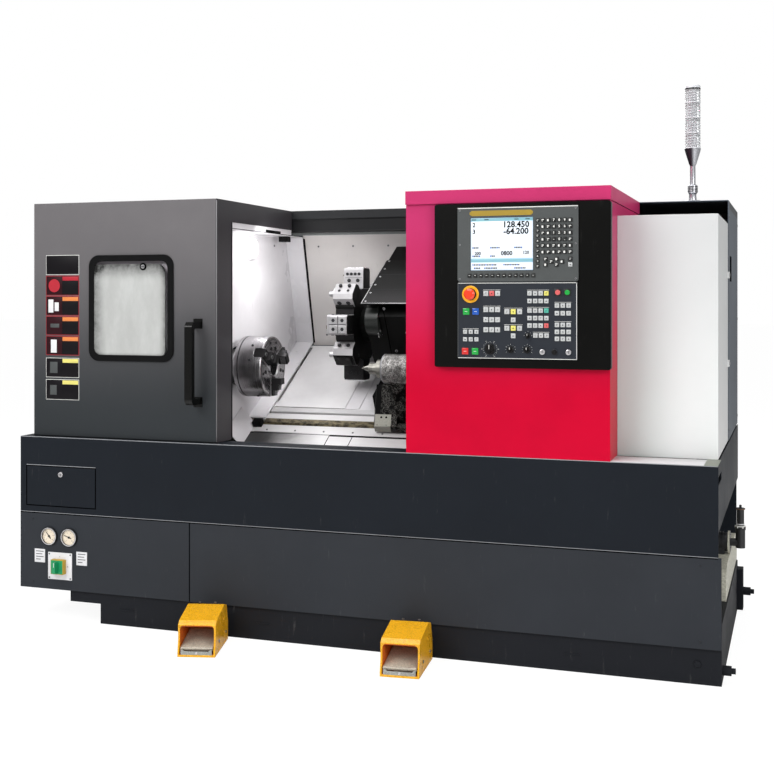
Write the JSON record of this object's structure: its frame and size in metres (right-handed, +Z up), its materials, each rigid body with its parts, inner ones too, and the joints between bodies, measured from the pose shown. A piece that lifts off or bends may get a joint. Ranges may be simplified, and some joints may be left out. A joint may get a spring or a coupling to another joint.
{
  "type": "cnc turning lathe",
  "caption": "Slant-bed turning lathe with a sliding door, chuck, indexing tool turret, tailstock, operator panel, signal tower and two foot switches.",
  "frame": {"origin": "on the floor under the middle of the machine's base", "axes": "+X along the spindle towards the tailstock, +Y to the back, +Z up"},
  "size_m": [2.878, 1.7896, 2.196],
  "materials": {
    "base_dark": "dark grey textured paint",
    "base_lower": "mid grey textured paint",
    "tank_dark": "dark grey paint",
    "casting_cream": "cream casting paint",
    "foot_steel": "plain steel",
    "door_grey": "grey satin paint",
    "glass_milk": "polycarbonate pane",
    "seal_rubber": "black rubber",
    "handle_black": "black powder coat",
    "cover_pale": "white paint",
    "rear_blue_grey": "blue-grey paint",
    "cabinet_red": "red gloss paint",
    "frame_black": "black satin paint",
    "bezel_grey": "grey moulded plastic",
    "screen_blue": "lit screen",
    "board_slate": "dark slate film",
    "key_white": "pale keys",
    "stop_red": "red plastic",
    "push_green": "green plastic",
    "knob_black": "black plastic",
    "switch_olive": "olive plastic",
    "gauge_black": "black case, cream dial",
    "iron_grey": "machined and painted iron",
    "steel_ground": "ground steel",
    "steel_dark": "blackened steel",
    "motor_black": "black motor paint",
    "way_steel": "oiled steel way",
    "guard_white": "white sheet",
    "lamp_clear": "clear lens",
    "pedal_yellow": "yellow enamel",
    "treadle_grey": "ribbed cast aluminium",
    "belt_black": "black belt"
  },
  "bodies": {
    "base": {"base_side_covers": "rear_blue_grey", "bed_casting": "casting_cream", "cabinet_cap": "cabinet_red", "chamber_back_wall": "guard_white", "chamber_left_wall": "guard_white", "control_board": "board_slate", "coolant_pump": "motor_black", "coolant_tank": "tank_dark", "display_screen": "screen_blue", "display_unit": "bezel_grey", "drive_belt": "belt_black", "drive_motors": "motor_black", "guide_rails": "way_steel", "headstock": "iron_grey", "headstock_cover": "cover_pale", "levelling_feet": "foot_steel", "lower_front_covers": "base_lower", "main_switch_box": "switch_olive", "operator_frame": "frame_black", "panel_keys": "key_white", "pedal_hoods": "pedal_yellow", "pressure_gauges": "gauge_black", "rear_cover": "rear_blue_grey", "red_cabinet": "cabinet_red", "side_box": "cover_pale", "signal_tower": "lamp_clear", "upper_front_cover": "base_dark", "way_covers": "guard_white", "work_light": "lamp_clear"},
    "door": {"main_door": "door_grey", "door_window": "glass_milk", "window_gasket": "seal_rubber", "door_handle": "handle_black"},
    "hatch": {"hatch_door": "base_dark"},
    "hatch_turn": {"hatch_lock": "foot_steel"},
    "switch": {"main_switch_handle": "push_green"},
    "stop": {"stop_button": "stop_red"},
    "start": {"start_button": "push_green"},
    "hold": {"hold_button": "stop_red"},
    "feed_dial": {"feed_knob": "knob_black"},
    "mode_dial_left": {"mode_knob_left": "knob_black"},
    "mode_dial_right": {"mode_knob_right": "knob_black"},
    "spindle_dial": {"spindle_knob": "knob_black"},
    "spindle": {"spindle": "steel_ground", "chuck_body": "steel_ground"},
    "jaw_1": {"chuck_jaw_1": "steel_dark"},
    "jaw_2": {"chuck_jaw_2": "steel_dark"},
    "jaw_3": {"chuck_jaw_3": "steel_dark"},
    "motor_shaft": {"motor_pulley": "steel_ground"},
    "carriage": {"saddle": "motor_black"},
    "middle_leaf": {"way_cover_middle": "guard_white"},
    "slide": {"cross_slide": "motor_black"},
    "turret": {"turret_disc": "iron_grey", "tool_holders": "steel_ground"},
    "screw": {"long_screw": "steel_ground"},
    "tailstock": {"tailstock": "iron_grey"},
    "quill": {"quill": "steel_ground"},
    "centre": {"live_centre": "steel_ground"},
    "treadle_1": {"pedal_treadle_1": "treadle_grey"},
    "treadle_2": {"pedal_treadle_2": "treadle_grey"}
  },
  "joints": [
    {"name": "door_slide", "type": "slide", "parent": "base", "child": "door", "axis": [1, 0, 0], "range_m": [0, 0.78]},
    {"name": "hatch_hinge", "type": "hinge", "parent": "base", "child": "hatch", "pos_m": [-1.205, -0.7505, 0.46715], "axis": [1, 0, 0], "range_deg": [0, 90]},
    {"name": "hatch_lock_turn", "type": "hinge", "parent": "hatch", "child": "hatch_turn", "pos_m": [-1.206, -0.75, 0.597], "axis": [0, 1, 0], "range_deg": [0, 90]},
    {"name": "main_switch_turn", "type": "hinge", "parent": "base", "child": "switch", "pos_m": [-1.207, -0.79, 0.2225], "axis": [0, 1, 0], "range_deg": [0, 90]},
    {"name": "stop_press", "type": "slide", "parent": "base", "child": "stop", "axis": [0, 1, 0], "range_m": [0, 0.004], "stiffness_N_per_m": 2500},
    {"name": "start_press", "type": "slide", "parent": "base", "child": "start", "axis": [0, 1, 0], "range_m": [0, 0.0025], "stiffness_N_per_m": 1200},
    {"name": "hold_press", "type": "slide", "parent": "base", "child": "hold", "axis": [0, 1, 0], "range_m": [0, 0.0025], "stiffness_N_per_m": 1200},
    {"name": "feed_turn", "type": "hinge", "parent": "base", "child": "feed_dial", "pos_m": [0.612, -0.78, 1.139], "axis": [0, 1, 0], "range_deg": [-150, 150]},
    {"name": "mode_left_turn", "type": "hinge", "parent": "base", "child": "mode_dial_left", "pos_m": [0.687, -0.78, 1.138], "axis": [0, 1, 0], "range_deg": [-60, 60]},
    {"name": "mode_right_turn", "type": "hinge", "parent": "base", "child": "mode_dial_right", "pos_m": [0.747, -0.78, 1.138], "axis": [0, 1, 0], "range_deg": [-60, 60]},
    {"name": "spindle_dial_turn", "type": "hinge", "parent": "base", "child": "spindle_dial", "pos_m": [0.75, -0.78, 1.189], "axis": [0, 1, 0], "range_deg": [-90, 90]},
    {"name": "spindle_spin", "type": "hinge", "parent": "base", "child": "spindle", "pos_m": [0, -0.363, 1.035], "axis": [1, 0, 0], "continuous": true},
    {"name": "jaw_1_slide", "type": "slide", "parent": "spindle", "child": "jaw_1", "axis": [0, -0.866, 0.5], "range_m": [-0.004, 0.004]},
    {"name": "jaw_2_slide", "type": "slide", "parent": "spindle", "child": "jaw_2", "axis": [0, 0, -1], "range_m": [-0.004, 0.004]},
    {"name": "jaw_3_slide", "type": "slide", "parent": "spindle", "child": "jaw_3", "axis": [0, 0.866, 0.5], "range_m": [-0.004, 0.004]},
    {"name": "motor_spin", "type": "hinge", "parent": "base", "child": "motor_shaft", "pos_m": [0, -0.56, 0.395], "axis": [1, 0, 0], "continuous": true},
    {"name": "z_axis", "type": "slide", "parent": "base", "child": "carriage", "axis": [1, 0, 0], "range_m": [-0.13, 0.25]},
    {"name": "middle_leaf_slide", "type": "slide", "parent": "base", "child": "middle_leaf", "axis": [1, 0, 0], "range_m": [-0.065, 0.125]},
    {"name": "x_axis", "type": "slide", "parent": "carriage", "child": "slide", "axis": [0, 0.866, 0.5], "range_m": [-0.08, 0.06]},
    {"name": "turret_index", "type": "hinge", "parent": "slide", "child": "turret", "pos_m": [-0.17, -0.05989, 1.21], "axis": [1, 0, 0], "continuous": true},
    {"name": "long_screw_spin", "type": "hinge", "parent": "base", "child": "screw", "pos_m": [0, 0.08379, 0.92114], "axis": [1, 0, 0], "continuous": true},
    {"name": "tailstock_slide", "type": "slide", "parent": "base", "child": "tailstock", "axis": [1, 0, 0], "range_m": [-0.05, 0.4]},
    {"name": "quill_slide", "type": "slide", "parent": "tailstock", "child": "quill", "axis": [-1, 0, 0], "range_m": [-0.01, 0.1]},
    {"name": "centre_spin", "type": "hinge", "parent": "quill", "child": "centre", "pos_m": [0, -0.363, 1.035], "axis": [1, 0, 0], "continuous": true},
    {"name": "treadle_1_press", "type": "hinge", "parent": "base", "child": "treadle_1", "pos_m": [-0.44636, -0.99195, 0.0153], "axis": [-0.9636, -0.2672, 0], "range_deg": [0, 9], "stiffness_Nm_per_rad": 6},
    {"name": "treadle_2_press", "type": "hinge", "parent": "base", "child": "treadle_2", "pos_m": [0.34074, -0.97478, 0.0153], "axis": [-0.9945, -0.1045, 0], "range_deg": [0, 9], "stiffness_Nm_per_rad": 6}
  ],
  "couplings": [
    {"joint": "jaw_2_slide", "follows": "jaw_1_slide", "ratio": 1},
    {"joint": "jaw_3_slide", "follows": "jaw_1_slide", "ratio": 1},
    {"joint": "motor_spin", "follows": "spindle_spin", "ratio": 1.5},
    {"joint": "middle_leaf_slide", "follows": "z_axis", "ratio": 0.5}
  ]
}
